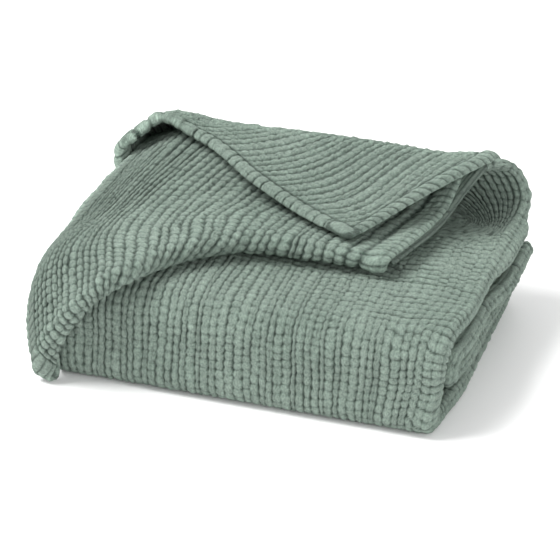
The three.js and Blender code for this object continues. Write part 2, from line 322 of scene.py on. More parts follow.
def centripetal(places, share):
    # a smooth curve through four places that keeps its speed by the root of the distance
    points = [2 * places[0] - places[1], *places, 2 * places[-1] - places[-2]]
    at = clamp(share) * (len(places) - 1)
    k = np.minimum(np.floor(at).astype(int), len(places) - 2)
    f = (at - k)[..., None]
    result = np.zeros(np.broadcast_shapes(points[0].shape, f.shape))
    for segment in range(len(places) - 1):
        p0, p1, p2, p3 = points[segment:segment + 4]
        d0, d1, d2 = (np.maximum(np.sum((q - p) ** 2, axis=-1, keepdims=True), 1e-9) ** 0.25
                      for p, q in ((p0, p1), (p1, p2), (p2, p3)))
        t1 = ((p1 - p0) / d0 - (p2 - p0) / (d0 + d1) + (p2 - p1) / d1) * d1
        t2 = ((p2 - p1) / d1 - (p3 - p1) / (d1 + d2) + (p3 - p2) / d2) * d1
        result = np.where((k == segment)[..., None], hermite(p1, t1, p2, t2, f), result)
    return result


def restPoint(across, share):
    across, share = np.broadcast_arrays(np.asarray(across, float), np.asarray(share, float))
    places = [stackPoint("b", across, roll, 1.0 + 0 * across)]
    places += [along(restSections, across, key) for key in ("shoulder", "belly", "crest")]
    return centripetal(places, share)


def sideways(across, share):
    return restPoint(clamp(across + nudge), share) - restPoint(clamp(across - nudge), share)


def restNormal(across, share):
    onward = restPoint(across, clamp(share + nudge)) - restPoint(across, clamp(share - nudge))
    return unit(np.cross(sideways(across, share), -onward))


def lipPoint(across, turned):
    tangent = unit(sideways(across, 1.0))
    reach, curl, leanX, leanY = (along(lipSections, across, key)
                                 for key in ("radius", "curl", "leanX", "leanY"))
    up = vectors(leanX, leanY, 1.0)
    up = unit(up - tangent * dot(up, tangent))
    ahead = np.cross(tangent, up)
    radius = (reach / curl)[..., None]
    angle = (math.pi * curl * turned)[..., None]
    return restPoint(across, 1.0) + up * radius * (np.cos(angle) - 1) + ahead * radius * np.sin(angle)


def slanted(across, turned):
    # a rib keeps its slant to the lip as it goes round it
    step = sideways(across, 1.0)
    speed = np.linalg.norm(step, axis=-1) / (clamp(across + nudge) - clamp(across - nudge))
    rib = unit(restPoint(across, 1.0) - restPoint(across, 1 - nudge))
    lean = np.sum(unit(step) * rib, axis=-1)
    slant = np.clip(lean / np.sqrt(np.maximum(1 - lean * lean, 0.05)), -1.1, 0.3)
    rounded = along(lipSections, across, "radius") * math.pi * turned
    return clamp(across + slant * rounded / speed * smooth(across / 0.16))


def turnedPoint(across, share):
    start = stackPoint("a", across, roll, 1.0 + 0 * across)
    hem = along(turnedHem, across, "point")
    path = hem - start
    span = np.linalg.norm(path, axis=-1)
    slopeStart = vectors(path[..., 0], -span, 0 * span)
    return hermite(start, slopeStart, hem, path, np.asarray(share, float)[..., None])


def hiddenPoint(name, across, share, turned):
    foldShare = hidden["foldShare"]
    depth = hidden["d"] if name == "d" else \
        mix(hidden["cAtFold"], hidden["c"], smooth(across / (2 * foldShare)))
    inside = across * hidden["width"]

    def under(f):
        return restPoint(inside, f) - restNormal(inside, f) * (depth * pitch + 0 * inside)[..., None]

    beside = 1 - smooth(across / foldShare)
    point = under(share * along(hiddenReach, across, name) + hidden["tail"] * turned * (1 - beside))
    gap = stackPoint(name, across, roll, 1.0 + 0 * across) - under(0 * across)
    point = point + gap * ((1 - share) ** 3)[..., None]
    if name == "c":
        point = point + (lipPoint(across, turned) - restPoint(across, 1.0)) * beside[..., None]
    return point


def lastPoint(name, across, row):
    share = clamp(row / restRows)
    turned = clamp((row - restRows) / lipRows)
    if name == "a":
        return turnedPoint(across, row / lastRows)
    if name == "b":
        return np.where((turned > 0)[..., None], lipPoint(slanted(across, turned), turned),
                        restPoint(across, share))
    slower = 1 - smooth(across) if name == "d" else 0 * across
    return hiddenPoint(name, across, mix(share, row / lastRows, slower), turned)


def foldArc(fromEdge, toEdge, inner, index, parts):
    # the side fold after a ply: a half turn square to the strip's run
    course = np.gradient(fromEdge + toEdge, axis=0)
    arm = (fromEdge - toEdge) / 2
    if index == 0:
        course = vectors(0 * arm[..., 0], -arm[..., 2], arm[..., 1])
    outward = unit(np.cross(course, arm))
    outward = np.where(dot(outward, inner) > dot(outward, fromEdge), -outward, outward)
    middle = (fromEdge + toEdge) / 2
    radius = np.minimum(np.linalg.norm(arm, axis=-1, keepdims=True), sideFold["widest"][index] * pitch)
    angles = math.pi * np.arange(1, parts) / parts
    return np.stack([middle + arm * math.cos(t) + outward * radius * math.sin(t) for t in angles], axis=1)


def reshaped(mid, columns):
    # the stack sags at its front and right, and the flap stands up at its left end
    x, y, z = mid[..., 0], mid[..., 1], mid[..., 2]
    if columns[0].get("ply") == "a" and columns[-1].get("ply") == "d":
        z = z + peak["z"] * hump(x - peak["x"], peak["spread"]) * rise(z, *peak["above"]) \
            * rise(y, *peak["fromY"]) * (1 - peak["behind"] * rise(y, *peak["behindY"]))
    at, wide = weight["toeAt"], weight["toeSpread"]
    toe = np.exp(-((y - at) / wide) ** 2 - ((z - at) / wide) ** 2)
    tucked = rise(x, *weight["tuckX"]) * fall(z, *weight["tuckZ"])
    bulged = rise(x, *weight["bulgeX"]) * rise(z, *weight["bulgeZ"]) * fall(z, *weight["bulgeTop"]) \
        * rise(y, *weight["bulgeY"])
    spread = fall(x, *weight["spreadX"]) * fall(y, *weight["spreadY"]) * rise(z, *weight["spreadZ"])
    x = x - weight["tuck"] * tucked + weight["bulge"] * bulged - weight["spread"] * spread
    y = y - weight["toe"] * toe
    z = np.maximum(z - 0.5 * weight["toe"] * toe, np.minimum(z, half))
    return np.stack([x, y, z], axis=-1)


print("folds ready")

crinkles = dict(
    ribPitch=8.8,  # between the main grooves, which run along the strip
    cellPitch=8.9,  # between the cross grooves
    narrowest=0.7, widest=1.2,  # of the rib pitch
    twins=0.93, twinWidth=0.62,  # past which share a rib is narrow, and by how much
    puff=2.4,  # how full a rib is between its grooves: higher is flatter
    waist=0.42,  # how much narrower a rib is where a cross groove ties it
    stitchWidth=0.22, stitchDepth=0.5,  # the thin stitched line in a groove, of half a rib
    wander=1.3, ripple=0.7,  # how far the grooves stray sideways, slowly and quickly
    crepe=0.66, crepeSize=3.5,  # the small lumps all over
    faint=0.62, strong=1.3,  # how a groove fades and deepens on its way
    split=0.75,  # how deep the short grooves are that divide a rib for a while
    loose=0.2,  # the jitter past which the cross grooves no longer run on from rib to rib
    coarseStep=11, hemStep=0.85, hemBand=16, plainHem=3,
    samples=(0.0, 0.1, 0.26, 0.5, 0.74, 0.9),  # columns in a rib
    floorGap=0.15,
)

# how far to the left the ribs under the arch start, so that they stand steep
fan = table(
    "at by",
    (0.0, 0), (0.2, 34), (0.3, 46), (0.4, 48), (0.5, 42), (0.6, 30), (0.7, 17), (0.8, 7), (0.9, 1), (1.0, 0),
)
fanShare = 0.72

pinch = dict(by=0.72, start=60, full=50, release=80, frees=250)


def scatter(n, m=0.0, seed=0.0):
    # a fixed random number from 0 to 1 for each pair of whole numbers
    value = np.sin(np.asarray(n) * 12.9898 + np.asarray(m) * 78.233 + seed * 37.719) * 43758.5453
    return value - np.floor(value)


def grain(x, y, size, seed=0.0):
    # small soft lumps from -1 to 1
    i, j = np.floor(x / size), np.floor(y / size)
    f, g = smooth(x / size - i), smooth(y / size - j)
    low = mix(scatter(i, j, seed), scatter(i + 1, j, seed), f)
    high = mix(scatter(i, j + 1, seed), scatter(i + 1, j + 1, seed), f)
    return 2 * mix(low, high, g) - 1


def crepe(x, y, seed, size=crinkles["crepeSize"]):
    return crinkles["crepe"] * grain(x, y, size, seed)


def drift(x, y, length, seed=0.0):
    # slow soft unevenness from about -1 to 1
    k = 2 * math.pi / length
    return (np.sin(k * x * 0.83 + k * y * 0.41 + 1.7 + seed)
            + np.sin(k * x * -0.37 + k * y * 0.79 + 4.1 * seed)
            + np.sin(k * x * 1.31 - k * y * 0.67 + 2.3 * seed) * 0.6) / 2.6


def plyWidth(name):
    return stack["right"] - stack["left"] - sideFold["hemSetBack"] * plyHasHem[name]


def acrossFor(name, millimetres):
    # the share of the width for a distance from the left fold, measured along the cloth
    shares = np.linspace(0, 1, 400)
    setBack = sideFold["hemSetBack"] * plyHasHem[name]
    places = (stack["right"] - stack["left"]) * shares - setBack * shares ** 4
    return np.interp(millimetres, places, shares)


def ribEdges(width, seed):
    # the grooves across a width, a little unevenly spaced, some ribs in narrow pairs
    edges = [0.0]
    while edges[-1] < width:
        number = len(edges) - 1
        step = crinkles["ribPitch"] * mix(crinkles["narrowest"], crinkles["widest"], scatter(number, 0, seed))
        if scatter(number, 5, seed) > crinkles["twins"]:
            step *= crinkles["twinWidth"]
        edges.append(edges[-1] + step)
    edges = np.array(edges)
    return edges * width / edges[-1]


def plyColumns(name, fine, even=None):
    # columns of a ply from its left edge to its right one: close where it shows, wide where hidden
    width = plyWidth(name)
    edges = ribEdges(width, 3.0 + plyOrder.index(name))
    fractions = crinkles["samples"] if even is None else np.arange(even) / even
    columns = []  # where each lies, which rib and part of it that is, and whether it shows
    for rib, (start, end) in enumerate(zip(edges[:-1], edges[1:])):
        close = any(low <= (start + end) / 2 <= high for low, high in fine)
        for fraction in (fractions if close else (0.0,)):
            place = mix(start, end, fraction)
            if close or rib == 0 or place - columns[-1][0] > crinkles["coarseStep"]:
                columns.append((place, rib + fraction, close))
    if plyHasHem[name]:  # closer along the hem, for its cords, and closest at its edge
        band = crinkles["hemBand"] if columns[-1][2] else crinkles["plainHem"]
        while columns[-1][0] > width - band - 0.5:
            columns.pop()
        for short in (*np.arange(band, 1.5, -crinkles["hemStep"]), 0.9, 0.35):
            phase = float(np.interp(width - short, edges, np.arange(len(edges))))
            columns.append((width - short, phase, columns[-1][2]))
    columns.append((width, len(edges) - 1.0, columns[-1][2]))
    return dict(zip(("place", "phase", "shown"), np.array(columns, float).T))


def foldColumns(fold, ribs, parts=6):
    return dict(fold=fold, ribs=ribs, parts=parts)


def stripColumns(parts):
    # the columns of a piece of cloth, ply by ply with the side folds between them
    columns = []
    begins = 0.0
    for part in parts:
        if "ply" in part:
            info = plyColumns(part["ply"], part["fine"], part.get("even"))
            low, high = part.get("span", (-1, far))
            keep = (info["place"] >= low) & (info["place"] <= high)
            way = -1 if part["ply"] in "ac" else 1  # these two run from right to left
            info = {key: value[keep][::way] for key, value in info.items()}
            info["phase"] = np.abs(info["phase"] - info["phase"][0])
            columns.append(dict(ply=part["ply"], **info, begins=begins))
            begins += info["phase"][-1]
        else:
            count = part["ribs"] * part["parts"]
            columns.append(dict(fold=part["fold"], parts=count, begins=begins,
                                phase=np.arange(1, count) / part["parts"], shown=np.ones(count - 1)))
            begins += part["ribs"]
    return columns


def stripRows(spans):
    # the stations of a piece of cloth: stretch by stretch, the shares of it that are done
    rows = []
    for stretch, low, high, spacing in spans:
        count = max(2, int(math.ceil((high - low) * stretch["length"] / spacing)))
        shares = np.linspace(low, high, count + 1)
        if stretch is innerEnd and low == 0:  # close to the hem, to round it
            shares = np.concatenate([[0], np.array([0.4, 1.1, 2.2]) / stretch["length"], shares[2:]])
        if stretch is last and high == 1:
            step = shares[-1] - shares[-2]
            shares = np.concatenate([shares[:-1], shares[-1] - step * np.array([0.55, 0.2, 0])])
        rows.append((stretch, shares if not rows else shares[1:]))
    return rows


def gathered(v):
    # inside the roll the ribs spread from where they run in from the top of the stack
    into = smooth((v - roll["begins"] + pinch["start"]) / pinch["full"])
    out = rise(v - roll["begins"], -5, pinch["release"])
    return 1 - pinch["by"] * into * (1 - out)


def pinched(place, width, v, first):
    # draws the ribs towards the right end of the roll, and leaves the first one where it is
    limit = pinch["frees"]
    drawn = width - (width - place) * gathered(v)
    edge = width - (width - limit) * gathered(v)
    return np.where(place > limit, drawn, first + (edge - first) * (place - first) / (limit - first))


def walkedOn(stretch, shares):
    return stretch["begins"] + shares * stretch["length"]


def plyBlock(column, stretch, shares):
    # the middle of the cloth at every station of a stretch and every column of a ply
    name, straight, shares = column["ply"], column["place"][None, :], shares[:, None]
    width = plyWidth(name)
    v = walkedOn(stretch, shares)
    seed = 1.0 + plyOrder.index(name)
    wander = crinkles["wander"] * drift(straight, v, 83, seed) \
        + crinkles["ripple"] * drift(straight * 1.7, v, 23, seed)
    edge = smooth(straight / 20) * rise(width - straight, 4, 20)
    place = straight + wander * edge * column["shown"]
    if name == "b" and stretch is last:
        place = place - along(fan, clamp(place / width), "by") * (1 - smooth(shares / fanShare))
    if name == "d" and stretch in (top, roll):
        place = pinched(place, width, v, straight[0, 0])
    across = np.where(straight <= 0, 0, acrossFor(name, place))
    shares = shares + 0 * across
    if stretch["kind"] == "last":
        return lastPoint(name, across, shares * lastRows)
    return stackPoint(name, across, stretch, shares)


def layCloth(rows, columns):
    # the middle of the cloth at every station and column, and what the crinkle needs there
    grid = [np.concatenate([plyBlock(column, *row) for row in rows]) if "ply" in column else None
            for column in columns]
    for index, column in enumerate(columns):
        if "fold" in column:
            before, after = grid[index - 1], grid[index + 1]
            grid[index] = foldArc(before[:, -1], after[:, 0], before[:, -2], column["fold"], column["parts"])
    mid = reshaped(np.concatenate(grid, axis=1), columns)
    flat = 0 * mid[..., 0]

    def everyRow(read):
        return np.concatenate([read(column) for column in columns])[None, :] + flat

    v = np.concatenate([walkedOn(*row) for row in rows])[:, None] + flat
    walked = lengths(mid)
    lastStart = sum(len(shares) for stretch, shares in rows if stretch is not last)
    if lastStart < len(mid):  # the last stretch differs in length from side to side
        base = max(lastStart - 1, 0)
        v[base:] = v[base] + (walked[base:] - walked[base])
    return dict(
        mid=mid, v=v, walked=walked, lastStart=lastStart,
        ply=np.repeat([column.get("ply") or "fold%d" % column["fold"] for column in columns],
                      [len(column["phase"]) for column in columns]),
        place=everyRow(lambda column: column.get("place", 0 * column["phase"])),
        phase=everyRow(lambda column: column["phase"] + column["begins"]),
        shown=everyRow(lambda column: column["shown"]),
    )


def onPly(laid, *names):
    return np.isin(laid["ply"], names)[None, :] + 0 * laid["v"]


def zoneOf(laid):
    # where each point lies across the doubled strip: x from the left, side folds at their edge
    x = laid["place"].copy()
    x[:, laid["ply"] == "fold1"] = plyWidth("d")
    return x


def cellsAt(q):
    # the cell at a place along a rib, how far through it that is, the cross groove that is
    # nearest, and how much that groove ties the rib: 1 on it
    cell = np.floor(q)
    g = q - cell
    return cell, g, cell + np.round(g), 0.5 + 0.5 * np.cos(2 * math.pi * g)


def narrowed(near, waist):
    return clamp((near - 0.5 * waist) / (1 - 0.5 * waist))


def crinkle(phase, v, ribDepth, cellDepth, jitter, seed=0.0):
    # how deep the cloth dips at each point, and how much shade is painted into the groove there
    loose = jitter > crinkles["loose"]
    rib = np.floor(phase + 1e-6)
    f = phase - rib
    x = phase * crinkles["ribPitch"]
    stretched = mix(0.93, 1.07, scatter(rib, 7, seed))
    q = v / crinkles["cellPitch"] * mix(1, stretched, clamp(jitter)) + jitter * scatter(rib, 1, seed) \
        + 0.32 * drift(x, v, 67, seed) + 0.14 * drift(x, v, 26, seed + 1)
    cell, g, crossing, tie = cellsAt(q)
    near = 1 - offMiddle(f)
    waist = crinkles["waist"] * tie ** 1.6 * mix(0.5, 1.3, scatter(rib, crossing, seed + 6))
    fades = mix(crinkles["faint"], crinkles["strong"],
                clamp(0.5 + 0.75 * grain(np.round(phase) * 50.0, v, 21, seed + 11)))
    fades = np.where(loose, fades, 1.0)
    ribDip = (1 - narrowed(near, waist)) ** crinkles["puff"] * fades
    stitch = hump(near, crinkles["stitchWidth"]) * fades
    divides = crinkles["split"] * clamp(1.6 * grain(rib * 50.0, v, 34, seed + 15) - 0.35) * loose
    divided = divides * hump(f - 0.5, 0.13)
    fading = mix(0.5, 1.2, clamp(0.5 + 0.8 * grain(crossing * 50.0, x, 26, seed + 13)))
    cellDip = offMiddle(g) ** np.where(loose, 4.0, 2.6) * np.where(loose, 1.0, fading)
    swell = np.sin(math.pi * g)
    lump = (scatter(rib, cell, seed + 4) - 0.5) * swell * (1 - ribDip)
    lean = (scatter(rib, cell, seed + 5) - 0.5) * (f - 0.5) * swell
    dip = ribDepth * (ribDip * (0.8 + 0.4 * tie) + crinkles["stitchDepth"] * stitch) \
        + cellDepth * cellDip * mix(0.6, 1.25, scatter(rib * loose, crossing, seed + 8)) \
        - 0.8 * lump - 0.9 * lean + divided * ribDepth - crepe(x, v, seed + 21)
    # painted shade: grooves, stitches, splits and cell dips darkened in colour, where shade falls
    grooveShade = clamp(0.45 * divided + ribDepth * stitch * (0.3 + 0.8 * tie ** 2) + 0.25 * ribDip * ribDepth
                   + 0.62 * cellDepth * cellDip ** 2)
    return dip, grooveShade


def beads(laid, wobble, spacing, seed):
    # a row of beads along a hem: the dent between two, its shade, and how near the tie in it is
    length = float(np.max(laid["walked"]))
    edges = [0.0]
    while edges[-1] < length + spacing:
        edges.append(edges[-1] + spacing * mix(0.78, 1.24, scatter(len(edges), 0, seed)))
    at = np.interp(laid["walked"] + wobble, edges, np.arange(len(edges)))
    near = 1 - offMiddle(at - np.floor(at))
    mark, tied = (1 - near) ** 2.6, hump(near, 0.2)
    return mark + 0.3 * tied, 0.7 * tied + 0.2 * mark, tied


def hemRoll(gap, thick, width):
    # how much thicker the cloth is along a hem, with a round edge
    middle = width / 2
    return thick * np.sqrt(clamp(1 - ((gap - middle) / middle) ** 2))


def notchedHem(laid, side, tied, bite=1.5, corner=0.0):
    # the edge of a side hem drawn in a little at each tie, and its corner rounded
    mid = laid["mid"]
    step = 1 if side == 0 else -1
    inward = unit(mid[:, side + 3 * step] - mid[:, side])[:, None, :]
    fromEdge = np.abs(laid["place"] - laid["place"][:, side:side + 1 or None])
    fromEdge = np.where(laid["ply"][None, :] == laid["ply"][side], fromEdge, far)
    mid = mid + inward * (bite * tied * clamp(1 - fromEdge / 6))[..., None]
    if corner:
        backward = unit(mid[-4] - mid[-1])[None, :, :]
        fromEnd = laid["walked"][-1] - laid["walked"]
        u, w = np.maximum(corner - fromEdge, 0), np.maximum(corner - fromEnd, 0)
        pull = np.where((u > 0) & (w > 0), 1 - np.maximum(u, w) / np.maximum(np.hypot(u, w), 1e-6), 0)
        mid = mid + inward * (u * pull)[..., None] + backward * (w * pull)[..., None]
    laid["mid"] = mid


def overlaid(surface, band, inside, edge, deep, dark):
    # a hem's own dip and painted shade laid over those of the ribs, with a furrow along its edge that is
    # dented and painted darker
    dip, grooveShade = (mix(under, over, inside) for under, over in zip(surface, band))
    return dip + deep * edge, clamp(grooveShade + dark * edge)


# in the looks: rib and cell are the depths of the main and the cross grooves, jitter how
# uneven they are, and a pair of numbers says where something begins and over how much
stackLook = dict(ribDepth=1.5, cellDepth=0.9, sideRib=0.7, sideCell=1.7, side=(340, 40), jitter=0.25)


def stackCrinkle(laid, look=stackLook):
    side = np.maximum(onPly(laid, "fold1", "c"), rise(zoneOf(laid), *look["side"]) * onPly(laid, "d"))
    rib = mix(look["ribDepth"], look["sideRib"], side)
    cell = mix(look["cellDepth"], look["sideCell"], side)
    return crinkle(laid["phase"], laid["v"], rib, cell, look["jitter"] * (1 - side), 1.0)


frontLook = dict(ribDepth=1.25, cellDepth=0.85, nearFloor=1.3, rightCell=1.25, jitter=0.3,
                 topRib=0.55, topCell=1.7, sideRib=0.6, sideCell=1.8, side=(366, 20),
                 low=(8, 40), right=(290, 70), ontoTop=(110, 60), topRight=(190, 130))


def frontCrinkle(laid, look=frontLook):
    x = zoneOf(laid)
    onward = laid["v"] - front["begins"]
    side = np.maximum(onPly(laid, "fold1", "c"), rise(x, *look["side"]) * onPly(laid, "d"))
    low = fall(onward, *look["low"])
    right = rise(x, *look["right"])
    ontoTop = rise(onward, *look["ontoTop"]) * rise(x, *look["topRight"])
    rib = mix(mix(look["ribDepth"], look["topRib"], ontoTop), look["sideRib"], side)
    cell = np.maximum(np.maximum(look["cellDepth"], look["nearFloor"] * low), look["rightCell"] * right * 0.9)
    cell = mix(mix(cell, look["topCell"], ontoTop), look["sideCell"], side)
    jitter = look["jitter"] * (1 - np.maximum(np.maximum(side, ontoTop), 0.7 * low))
    return crinkle(laid["phase"], laid["v"], rib, cell, jitter, 2.0)


topLook = dict(rib=0.4, cell=2.6, rollRib=2.4, rollCell=1.5, jitter=0.06, rollJitter=0.4,
               rolled=(-34, 26))


def topCrinkle(laid, look=topLook):
    v = laid["v"]
    rolled = rise(v - roll["begins"], *look["rolled"])
    side = onPly(laid, "fold1", "c")
    rib = mix(mix(look["rib"], look["rollRib"], rolled), frontLook["sideRib"], side)
    cell = mix(mix(look["cell"], look["rollCell"], rolled), frontLook["sideCell"], side * (1 - rolled))
    rib = rib * np.where(onPly(laid, "d") > 0, clamp(1.25 * gathered(v)), 1)
    jitter = mix(look["jitter"], look["rollJitter"], rolled) * (1 - side)
    return crinkle(laid["phase"], v, rib, cell, jitter, 2.0)


flapLook = dict(
    scallop=11.6, uneven=(0.78, 1.22, 0.95, 1.1),  # between the flap's ribs, and how it varies in turn
    startAngle=14, endAngle=66, turnLeft=170, turnRight=60,  # how the ribs bend to the back
    ribDepth=2.9, cellDepth=1.7, cellPitch=8.2,
    band=14.5, bandDepth=3.4, bandProud=2.3, underBand=0.7,  # the hem band along the flap's end
    rope=2.5, sideRope=1.5, ropeWidth=9.5,
    sideBand=11, beadPitch=9.5, beadDepth=1.7,
    tabRise=3.5, tabLength=31, corner=10, dark=1.55,
)


def flapRibs(laid, look):
    # the flap's ribs leave the hem band to the right and bend to the back: for each point
    # the place along the hem where its rib starts, and how far along the rib it is
    x, y = laid["mid"][..., 0], laid["mid"][..., 1]
    shares = np.linspace(0, 1, 240)
    hem = turnedPoint(shares, 1.0 + 0 * shares)[:, :2]
    hemLength = lengths(hem)
    crown = laid["lastStart"] - 1
    t = np.where(np.arange(len(x))[:, None] < crown,
                 y[crown] + laid["walked"][crown] - laid["walked"], y)  # the roll laid out flat
    gap = np.full(x.shape, far)
    at = np.zeros(x.shape)
    for (hemX, hemY), length in zip(hem[::2], hemLength[::2]):
        away = np.hypot(x - hemX, t - hemY)
        at = np.where(away < gap, length, at)
        gap = np.minimum(gap, away)
    gap = np.minimum(gap, laid["walked"][-1] - laid["walked"])

    tangent = unit(np.gradient(hem, axis=0))
    inner = hem + np.stack([-tangent[:, 1], tangent[:, 0]], axis=-1) * look["band"]
    order = np.argsort(inner[:, 0])
    innerX, innerY, innerLength = inner[order, 0], inner[order, 1], hemLength[order]
    tau = np.linspace(0, 12, 2400)
    angle = np.radians(mix(look["startAngle"], look["endAngle"], smooth(tau)))
    step = tau[1] - tau[0]
    runX = np.concatenate([[0], np.cumsum(np.cos(angle[:-1])) * step])
    runT = np.concatenate([[0], np.cumsum(np.sin(angle[:-1])) * step])
    start = np.full(x.shape, 150.0)
    for _ in range(5):
        bend = mix(look["turnLeft"], look["turnRight"], clamp(start / hemLength[-1]))
        low, high = np.zeros(x.shape), np.full(x.shape, 11.0)
        for _ in range(16):
            middle = (low + high) / 2
            hemX = x - bend * np.interp(middle, tau, runX)
            leftOf, rightOf = np.minimum(hemX - innerX[0], 0), np.maximum(hemX - innerX[-1], 0)
            hemY = np.interp(hemX, innerX, innerY) + leftOf * 0.3 - rightOf * 0.6
            over = hemY + bend * np.interp(middle, tau, runT) > t
            low, high = np.where(over, low, middle), np.where(over, middle, high)
        start = np.interp(hemX, innerX, innerLength) + leftOf * 1.05 + rightOf * 1.15
    return start, low * bend, gap, at, hemLength[-1]


def flapBody(start, onward, edges, look):
    # full uneven ribs, some with a thin groove of their own
    phase = np.interp(start, edges, np.arange(len(edges)))
    rib = np.floor(phase)
    f = phase - rib
    near = 1 - offMiddle(f)
    split = scatter(rib, 0, 9.0) > 0.52
    place = mix(0.38, 0.66, scatter(rib, 1, 9.0))
    thin = np.where(split, hump(f - place, 0.07), 0) * (0.5 + 0.5 * drift(onward, start, 57, 3.0))
    q = onward / look["cellPitch"] + scatter(rib, 2, 9.0) + 0.3 * drift(onward, start, 41, 1.0)
    cell, g, crossing, tie = cellsAt(q)
    waist = 0.3 * tie * mix(0.4, 1.4, scatter(rib, crossing, 12.0))
    ribDip = (1 - narrowed(near, waist)) ** 2.4
    stitch = hump(near, 0.2)
    cellDip = offMiddle(g) ** 2.6
    lumps = (scatter(rib, cell, 3.0) - 0.5) * np.sin(math.pi * g) * (1 - ribDip)
    dip = look["ribDepth"] * (ribDip + 0.35 * stitch) + 0.7 * thin \
        + look["cellDepth"] * (cellDip * mix(0.3, 1.2, scatter(rib, crossing, 13.0)) - lumps) \
        - crepe(start, onward, 27, crinkles["crepeSize"] + 0.4)
    grooveShade = clamp(stitch * (0.35 + 0.5 * tie ** 2) + 0.3 * ribDip + 0.25 * cellDip ** 2 + 0.45 * clamp(thin))
    return dip, grooveShade


def flapCrinkle(laid, look=flapLook):
    start, onward, gap, at, hemTotal = flapRibs(laid, look)
    onA = laid["ply"] == "a"
    onFlap = onPly(laid, "a")
    around = lengths(laid["mid"][-1])
    beyond = around[onA][-1] - around  # on the left fold and under it the hem goes on
    at = np.where(onA, at, beyond)
    edges = [min(-60, float(beyond.min()) - 20)]
    while edges[-1] < hemTotal + 260:
        number = len(edges) - 1
        edges.append(edges[-1] + look["scallop"] * look["uneven"][number % 4]
                     * mix(0.88, 1.12, scatter(number, 3, 8.0)))
    body = flapBody(start, onward, edges, look)
    plain = crinkle(laid["phase"], laid["v"], 1.2, 0.8, 0.3, 4.0)
    shaped = onFlap * smooth(laid["place"] / 8)
    surface = [mix(plain[k], body[k], shaped) for k in range(2)]

    # the hem band: full scallops, a stitched line on it, a groove behind it, with painted shade between the
    # scallops and on the line
    hemPhase = np.interp(at, edges, np.arange(len(edges)))
    hemNear = 1 - offMiddle(hemPhase - np.floor(hemPhase))
    band = look["band"]
    inBand = fall(gap - band, -1.2, 2.4)
    across = clamp(gap / band)
    line = hump(gap - 3.6, 0.8) * (0.6 + 0.4 * np.sin(at * 2.1))
    bandDip = look["bandDepth"] * np.where(onA, 1.0, look["underBand"]) \
        * (0.8 * (1 - hemNear) ** 2.4 + 0.35 * hump(hemNear, 0.16)) \
        + 2.2 * offMiddle(across) ** 2.6 - look["bandProud"] + 0.35 * line
    bandShade = clamp(0.7 * hump(hemNear, 0.16) + 0.3 * line)
    surface = overlaid(surface, (bandDip, bandShade), inBand, hump(gap - band - 0.6, 1.5), 1.1, 0.6)

    # the side hem: a narrow cord with small cross marks, dents with painted shade
    fromHem = plyWidth("a") - laid["place"]
    sideBand = look["sideBand"]
    cord = fall(fromHem - sideBand, -0.8, 1.6) * (1 - inBand) * onFlap
    dent, shade, tied = beads(laid, 0, look["beadPitch"], 17.0)
    cordDip = 1.4 * offMiddle(clamp(fromHem / sideBand)) ** 3 + look["beadDepth"] * dent - 1.1 \
        - crepe(fromHem, laid["walked"], 33)
    furrow = hump(fromHem - sideBand - 0.4, 1.2) * (1 - inBand) * onFlap
    dip, grooveShade = overlaid(surface, (cordDip, shade), cord, furrow, 0.9, 0.6)
    # painted shade: the grooves of the flap darkened further
    grooveShade = clamp(look["dark"] * grooveShade)

    # towards the arch the end hem is rolled thicker and thicker, like a rope
    leftness = mix(0.25, 1.0, np.where(onA, fall(laid["place"], 20, 110), 1.0))
    laid["rope"] = np.maximum(hemRoll(gap, look["rope"] * leftness, look["ropeWidth"]),
                              hemRoll(np.where(onA, fromHem, far), look["sideRope"], look["ropeWidth"]))
    notchedHem(laid, 0, tied, corner=look["corner"])

    # the corner, folded over itself: a smooth oval tab, with painted shade round its edge
    halfTab = look["tabLength"] / 2
    fromCorner = hemTotal - at
    tab = fall(fromCorner, look["tabLength"], 2.5) * inBand * onFlap
    oval = ((fromCorner - halfTab) / halfTab) ** 2 + (2 * across - 1) ** 2
    tabDip = -look["tabRise"] + (look["tabRise"] + 0.9) * rise(oval, 0.1, 1.1)
    return mix(dip, tabDip, tab), mix(grooveShade, 0.95 * rise(oval, 0.7, 0.3), tab)


restLook = dict(
    ribDepth=1.9, cellDepth=1.4, jitter=0.5, noseCell=0.3, dark=1.08,
    hemBand=15, beadPitch=8.6, beadDepth=1.5, rope=1.6, ropeWidth=9.5,
    leftStart=14, leftBand=14, leftPitch=8.2, leftDepth=1.3,
)


